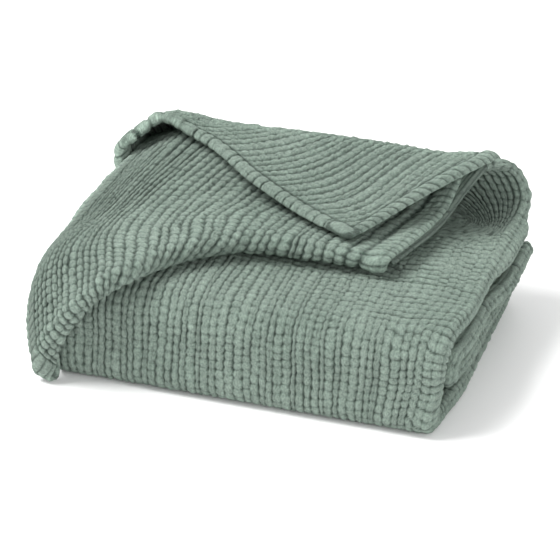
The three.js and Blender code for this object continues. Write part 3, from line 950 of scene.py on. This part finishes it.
def restCrinkle(laid, look=restLook):
    v, walked, x = laid["v"], laid["walked"], laid["place"]
    onB, onFold = onPly(laid, "b"), onPly(laid, "fold2")
    nose = fall(x, 40, 60) * rise(walked, 90, 60)
    single = crinkle(laid["phase"], v, look["ribDepth"], look["cellDepth"] * (1 + look["noseCell"] * nose),
                     look["jitter"], 5.0)
    # where the ribs crowd together under the arch, they merge by twos
    double = crinkle(laid["phase"] / 2, v, look["ribDepth"] * 1.15, look["cellDepth"], look["jitter"], 5.5)
    crowded = onB * fall(v - last["begins"], 40, 34) * fall(x, 100, 50)
    # painted shade: the grooves darkened a little more
    surface = mix(single[0], double[0], crowded), clamp(look["dark"] * mix(single[1], double[1], crowded))

    # right hem: a few cords side by side with a stitched line between them, with painted shade at the ties
    # and on the line
    band = look["hemBand"]
    fromHem = plyWidth("b") - x
    line = hump(fromHem - 4.2, 0.9)
    dent, shade, tied = beads(laid, 1.5 * drift(fromHem, walked, 24), look["beadPitch"], 19.0)
    laid["rope"] = hemRoll(np.where(onB > 0, fromHem, far), look["rope"], look["ropeWidth"])
    notchedHem(laid, -1, tied)
    cordDip = 1.5 * offMiddle(clamp(fromHem / band)) ** 2.6 + look["beadDepth"] * dent \
        + 0.5 * line - 1.2 - crepe(fromHem, walked, 35)
    surface = overlaid(surface, (cordDip, shade + 0.4 * line),
                       fall(fromHem, band, 1.6) * onB, hump(fromHem - band - 0.6, 1.3) * onB, 0.8, 0.5)

    # left edge: a smooth tube with cross marks, dents with painted shade, then a narrower ridge
    band = look["leftBand"]
    onLeft = onB + onFold
    place = np.where(onFold > 0, 0, x) - look["leftStart"] * rise(walked, 40, 60)
    dent, shade, _ = beads(laid, 1.2 * drift(walked, x, 30), look["leftPitch"], 21.0)
    tubeDip = 1.2 * offMiddle(clamp((place + band) / (2 * band))) ** 4 + look["leftDepth"] * dent \
        - 0.8 - crepe(place, walked, 31)
    return overlaid(surface, (tubeDip, shade), fall(place, band, 1.6) * onLeft,
                    hump(place - band - 0.8, 1.5) * onLeft, 1.3, 0.7)


gauzeLook = dict(
    # light is the cloth's own colour; the second colour is the painted shade of the grooves
    light=(0.312, 0.416, 0.345, 1), grooveShade=(0.050, 0.085, 0.064, 1), pale=(0.43, 0.54, 0.46, 1),
    crown=(0.25, 0.85, 0.0, 0.55),  # from which tone to which the crowns are paler, and how much
    roughness=0.92, specular=0.25, sheen=0.35, sheenRoughness=0.45, sheenTint=(0.72, 0.82, 0.75, 1),
    threadPitch=0.0011, squash=(1.0, 0.62, 1.0),
    # the slub and pucker noises bump the cloth; their ranges paint shade into the hollows of the bumps and
    # paint light onto their tops
    slubsAndShade=dict(size=620.0, rough=0.6, range=(0.38, 0.6, 0.77, 1.13)),
    hollows=dict(size=250.0, rough=0.55, range=(0.36, 0.62, 0.85, 1.12)),
    threadShare=0.25, hollowShare=1.6, puckerDepth=0.003,
)


def gauzeCloth(look):
    material = bpy.data.materials.new("sageGauze")
    material.use_nodes = True
    tree = material.node_tree
    tree.nodes.clear()

    def node(kind, sockets, output=0, **settings):
        # a node with its settings, and for each socket a value or what is linked to it
        made = tree.nodes.new("ShaderNode" + kind)
        made.location = (200 * len(tree.nodes), 0)
        for key, value in settings.items():
            setattr(made, key, value)
        for key, value in sockets.items():
            if isinstance(value, bpy.types.NodeSocket):
                tree.links.new(value, made.inputs[key])
            else:
                made.inputs[key].default_value = value
        return made.outputs[output] if made.outputs else made

    def maths(operation, *values, kind="Math"):
        return node(kind, dict(enumerate(values)), operation=operation)

    def ranged(value, limits):
        names = ("From Min", "From Max", "To Min", "To Max")
        return node("MapRange", dict(zip(names, limits), Value=value))

    def noise(layer):
        return node("TexNoise", dict(Vector=squashed, Scale=layer["size"], Detail=2.0,
                                     Roughness=layer["rough"]))

    grooveShade = node("Attribute", {}, "Fac", attribute_name="grooveShade")
    tone = node("Attribute", {}, "Fac", attribute_name="tone")
    place = node("UVMap", {}, uv_map="cloth")
    squashed = node("Mapping", dict(Vector=place, Scale=look["squash"]))
    slub, crumple = noise(look["slubsAndShade"]), noise(look["hollows"])

    # colour: painted shade in the grooves, a little paler at random on the crowns, painted shade and
    # highlight on the small bumps
    shade = node("Mix", dict(A=look["light"], B=look["grooveShade"], Factor=grooveShade), "Result", data_type="RGBA")
    crown = maths("MULTIPLY", ranged(tone, look["crown"]), maths("SUBTRACT", 1, grooveShade))
    pale = node("Mix", dict(A=shade, B=look["pale"], Factor=crown), "Result", data_type="RGBA")
    # painted shade and highlight that follow the small bumps
    slubShaded = maths("MULTIPLY", pale, ranged(slub, look["slubsAndShade"]["range"]), kind="VectorMath")
    colour = maths("MULTIPLY", slubShaded, ranged(crumple, look["hollows"]["range"]), kind="VectorMath")

    # relief too fine to model: threads, slubs and the smallest puckers
    split = tree.nodes.new("ShaderNodeSeparateXYZ")
    tree.links.new(place, split.inputs["Vector"])
    waves = [maths("SINE", maths("MULTIPLY", split.outputs[axis], 2 * math.pi / look["threadPitch"]))
             for axis in "XY"]
    threads = maths("MULTIPLY_ADD", maths("MULTIPLY", *waves), look["threadShare"], slub)
    height = maths("MULTIPLY_ADD", crumple, look["hollowShare"], threads)
    relief = node("Bump", dict(Height=height, Strength=1.0, Distance=look["puckerDepth"]))

    surface = node("BsdfPrincipled", {
        "Base Color": colour, "Normal": relief, "Roughness": look["roughness"],
        "Specular IOR Level": look["specular"], "Sheen Weight": look["sheen"],
        "Sheen Roughness": look["sheenRoughness"], "Sheen Tint": look["sheenTint"],
    })
    node("OutputMaterial", dict(Surface=surface))
    return material


gauze = gauzeCloth(gauzeLook)
print("gauze ready")

hemEdge = dict(size=3.0, kept=0.22)  # how far from a true edge the cloth thins, and what stays


def roundedHems(laid, joins):
    near = np.full(laid["v"].shape, far)
    for join, name in (("first", "a"), ("final", "b")):
        if join not in joins:
            near = np.minimum(near, np.where(laid["ply"] == name, plyWidth(name) - laid["place"], far))
    if "start" not in joins:
        near = np.minimum(near, laid["walked"])
    if "end" not in joins:
        near = np.minimum(near, laid["walked"][-1] - laid["walked"])
    share = clamp(near / hemEdge["size"])
    return hemEdge["kept"] + (1 - hemEdge["kept"]) * np.sqrt(np.maximum(1 - (1 - share) ** 2, 0))


def crossOf(mid):
    return np.cross(np.gradient(mid, axis=0), np.gradient(mid, axis=1))


def keptIndexes(count, keep, close):
    indexes = [0]
    while indexes[-1] < count - 1:
        step = 1 if close is not None and close[indexes[-1]] else keep
        indexes.append(min(indexes[-1] + step, count - 1))
    return np.array(indexes)


def sheetMesh(name, laid, outward, inward, fineSide, keep, joins, close):
    # a closed thin sheet: its fine face, a plainer hidden face, and the rim that joins them
    mid = laid["mid"]
    normal = unit(crossOf(mid))
    down, wide = mid.shape[:2]
    fine = mid + fineSide * normal * outward[..., None]
    rowsKept, columnsKept = keptIndexes(down, keep, close[0]), keptIndexes(wide, keep, close[1])
    plain = (mid - fineSide * normal * inward[..., None])[rowsKept][:, columnsKept]
    vertices = np.concatenate([fine.reshape(-1, 3), plain.reshape(-1, 3)])
    vertices[:, 2] = np.maximum(vertices[:, 2], crinkles["floorGap"])  # pressed flat on the floor
    fineAt = np.arange(down * wide).reshape(down, wide)
    plainAt = down * wide + np.arange(plain[..., 0].size).reshape(plain.shape[:2])

    def quads(at, flip):
        a, b, c, d = at[:-1, :-1], at[1:, :-1], at[1:, 1:], at[:-1, 1:]
        return np.stack([a, d, c, b] if flip else [a, b, c, d], axis=-1).reshape(-1, 4)

    turned = fineSide < 0
    faceQuads = np.concatenate([quads(fineAt, turned), quads(plainAt, not turned)])
    rim = []

    def rimAlong(fineLine, plainLine, kept, reverse):
        for k in range(len(kept) - 1):
            faces = [(fineLine[i], fineLine[i + 1], plainLine[k]) for i in range(kept[k], kept[k + 1])]
            faces.append((fineLine[kept[k + 1]], plainLine[k + 1], plainLine[k]))
            rim.extend(face[::-1] if reverse else face for face in faces)

    rimAlong(fineAt[0], plainAt[0], columnsKept, turned)
    rimAlong(fineAt[-1], plainAt[-1], columnsKept, not turned)
    rimAlong(fineAt[:, 0], plainAt[:, 0], rowsKept, not turned)
    rimAlong(fineAt[:, -1], plainAt[:, -1], rowsKept, turned)

    mesh = bpy.data.meshes.new(name)
    places = ((vertices + rawToPart) / perMetre).tolist()
    mesh.from_pydata(places, [], faceQuads.tolist() + rim, shade_flat=False)
    mesh.validate()

    def both(values):
        return np.concatenate([values.ravel(), values[rowsKept][:, columnsKept].ravel()]).astype(np.float32)

    def readBack(source, key, count):
        found = np.empty(count, np.int32)
        source.foreach_get(key, found)
        return found

    # the painted shade of the grooves and the cloth's random tone go to the material
    for key in ("grooveShade", "tone"):
        mesh.attributes.new(key, "FLOAT", "POINT").data.foreach_set("value", both(laid[key]))
    uv = np.stack([both(laid["phase"] * crinkles["ribPitch"]), both(laid["v"])], axis=-1) / perMetre
    corner = readBack(mesh.loops, "vertex_index", len(mesh.loops))
    mesh.uv_layers.new(name="cloth").data.foreach_set("uv", uv[corner].astype(np.float32).ravel())

    # where two pieces join, the rim keeps its own shading, so that the join doesn't show
    border = np.zeros(len(vertices), bool)
    lines = dict(start=fineAt[0], end=fineAt[-1], first=fineAt[:, 0], final=fineAt[:, -1])
    for join in joins:
        border[lines[join]] = True
    ends = readBack(mesh.edges, "vertices", len(mesh.edges) * 2).reshape(-1, 2)
    sharp = border[ends[:, 0]] & border[ends[:, 1]]
    mesh.attributes.new("sharp_edge", "BOOLEAN", "EDGE").data.foreach_set("value", sharp)
    return mesh


def sheetPiece(name, laid, surface, joins, fineSide=-1, keep=3, proud=0.5, inner=1.7, reverse=0.0,
               close=(None, None)):
    # one piece of the cloth as an object on the frame
    dip, grooveShade = surface
    shown = laid["shown"]
    rope = laid.get("rope", 0)  # a hem rolled thick
    rounding = roundedHems(laid, joins)
    outward = (half + (proud - dip) * shown + rope) * rounding
    inward = (inner - reverse * (dip - 0.6) * shown + rope) * rounding
    # painted shade for the grooves, none where the cloth is hidden
    laid["grooveShade"] = grooveShade * shown
    laid["tone"] = 0.5 + 0.28 * drift(laid["mid"][..., 0], laid["v"], 140, 2.0) \
        + 0.22 * (scatter(np.floor(laid["phase"]), np.floor(laid["v"] / crinkles["cellPitch"])) - 0.5)
    mesh = sheetMesh(name, laid, outward, inward, fineSide, keep, joins, close)
    piece = bpy.data.objects.new(name, mesh)
    bpy.context.scene.collection.objects.link(piece)
    piece.data.materials.append(gauze)
    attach(piece, "root")
    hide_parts("blanket")
    area = float(np.sum(np.linalg.norm(crossOf(laid["mid"]), axis=-1))) / perMetre ** 2
    print(name, "faces", len(mesh.polygons), "cloth area", round(area, 4))
    return piece, area


everywhere = [(0, far)]
coarse = 1.0
leftFold = foldColumns(0, 4)
rightFold = [foldColumns(1, 3), dict(ply="c", fine=[(0, 12), (332, 400)]), foldColumns(2, 1, 8)]
outerShown = [dict(ply="a", fine=[]), leftFold, dict(ply="d", fine=everywhere),
              *rightFold, dict(ply="b", fine=[])]


def build(name, spans, parts, crinkled, joins, closeTo=None, **shape):
    # spans: a stretch, the shares of it where the piece starts and ends, and millimetres a row
    spans = [(stretch, low, high, spacing * coarse) for stretch, low, high, spacing in spans]
    laid = layCloth(stripRows(spans), stripColumns(parts))
    if closeTo:  # so near to the end hem and to the left edge the hidden face is fine as well
        shape["close"] = (np.median(laid["walked"][-1] - laid["walked"], axis=1) < closeTo["hem"],
                          (laid["ply"] != "a") | (laid["place"][0] < closeTo["left"]))
    sheetPiece(name, laid, crinkled(laid), joins, **shape)


build("innerRuns",
      [(innerEnd, 0, 0.12, 2.2), (innerEnd, 0.12, 1, 4.5), (innerFront, 0, 1, 4), (third, 0, 0.85, 4.5)],
      [dict(ply="a", fine=[(0, 20), (325, 400)]), leftFold, dict(ply="d", fine=[(0, 20), (335, 400)]),
       *rightFold, dict(ply="b", fine=[(0, 12), (325, 400)])],
      stackCrinkle, joins=("end",))
build("backTurn", [(third, 0.85, 1, 2.4), (back, 0, 1, 1.9), (bottom, 0, 0.3, 2.4), (bottom, 0.3, 0.72, 6)],
      outerShown, stackCrinkle, joins=("start", "end"))
build("frontTurn", [(bottom, 0.72, 1, 2.4), (front, 0, 1, 1.5), (top, 0, 0.25, 1.5)],
      outerShown, frontCrinkle, joins=("start", "end"))
build("topPly", [(top, 0.25, 1, 1.5), (roll, 0, 1, 1.4)],
      [dict(ply="d", fine=[(140, 400)], span=(135, far)), *rightFold, dict(ply="b", fine=[])],
      topCrinkle, joins=("start", "end", "first"))
build("turnedPly", [(top, 0.25, 1, 6), (roll, 0, 1, 1.6), (last, 0, 1, 2.4)],
      [dict(ply="a", fine=everywhere, even=7), leftFold, dict(ply="d", fine=[], span=(-1, 146))],
      flapCrinkle, joins=("start", "final"), reverse=0.7, closeTo=dict(hem=45, left=90))
build("restPly", [(last, 0, restRows / lastRows, 1.05), (last, restRows / lastRows, 1, 4.6)],
      [dict(ply="d", fine=[], span=(135, far)), *rightFold, dict(ply="b", fine=everywhere, even=7)],
      restCrinkle, joins=("start", "first"), fineSide=1)
print("cloth laid")

studio = dict(
    azimuth=18, elevation=30, distance=2.8, focal=173.08, sensor=36, aim=(-0.010408, 0.012896, 0.06),
    floor=(0.96, 0.96, 0.96, 1), reach=6.0, world=0.64, lightAim=(0, 0, 0.06),
    lights=table(  # metres and watts
        "name at size power",
        ("keyLight", (-1.5, -0.45, 2.5), 1.5, 114),
        ("fillLight", (1.3, -1.9, 1.2), 1.6, 9),
        ("sideLight", (2.2, -1.1, 0.9), 1.2, 17),
        ("backLight", (0.2, 1.9, 1.6), 1.6, 10),
    ),
)


def addAimed(name, data, at, direction):
    thing = bpy.data.objects.new(name, data)
    thing.location = at
    thing.rotation_euler = direction.to_track_quat("-Z", "Y").to_euler()
    bpy.context.scene.collection.objects.link(thing)
    return thing


def pointCamera():
    azimuth, elevation = math.radians(studio["azimuth"]), math.radians(studio["elevation"])
    backward = Vector((math.sin(azimuth) * math.cos(elevation), -math.cos(azimuth) * math.cos(elevation),
                       math.sin(elevation)))
    data = bpy.data.cameras.new("camera")
    data.lens = studio["focal"]
    data.sensor_width = studio["sensor"]
    at = Vector(studio["aim"]) + backward * studio["distance"]
    bpy.context.scene.camera = addAimed("camera", data, at, -backward)


def hangLight(name, at, size, power):
    data = bpy.data.lights.new(name, "AREA")
    data.shape = "SQUARE"
    data.size = size
    data.energy = power
    addAimed(name, data, at, Vector(studio["lightAim"]) - Vector(at))


def layFloor():
    material = bpy.data.materials.new("paleFloor")
    material.use_nodes = True
    surface = material.node_tree.nodes["Principled BSDF"]
    surface.inputs["Base Color"].default_value = studio["floor"]
    surface.inputs["Roughness"].default_value = 0.9
    surface.inputs["Specular IOR Level"].default_value = 0.1
    mesh = bpy.data.meshes.new("floor")
    reach = studio["reach"]
    mesh.from_pydata([(-reach, -reach, 0), (reach, -reach, 0), (reach, reach, 0), (-reach, reach, 0)], [],
                     [(0, 1, 2, 3)])
    mesh.materials.append(material)
    floor = bpy.data.objects.new("floor", mesh)
    bpy.context.scene.collection.objects.link(floor)


pointCamera()
layFloor()
for light in studio["lights"]:
    hangLight(**light)
world = bpy.data.worlds.new("studio")
world.use_nodes = True
background = world.node_tree.nodes["Background"]
background.inputs["Color"].default_value = (1, 1, 1, 1)
background.inputs["Strength"].default_value = studio["world"]
bpy.context.scene.world = world
bpy.context.scene.view_settings.view_transform = "Standard"
print("studio ready")
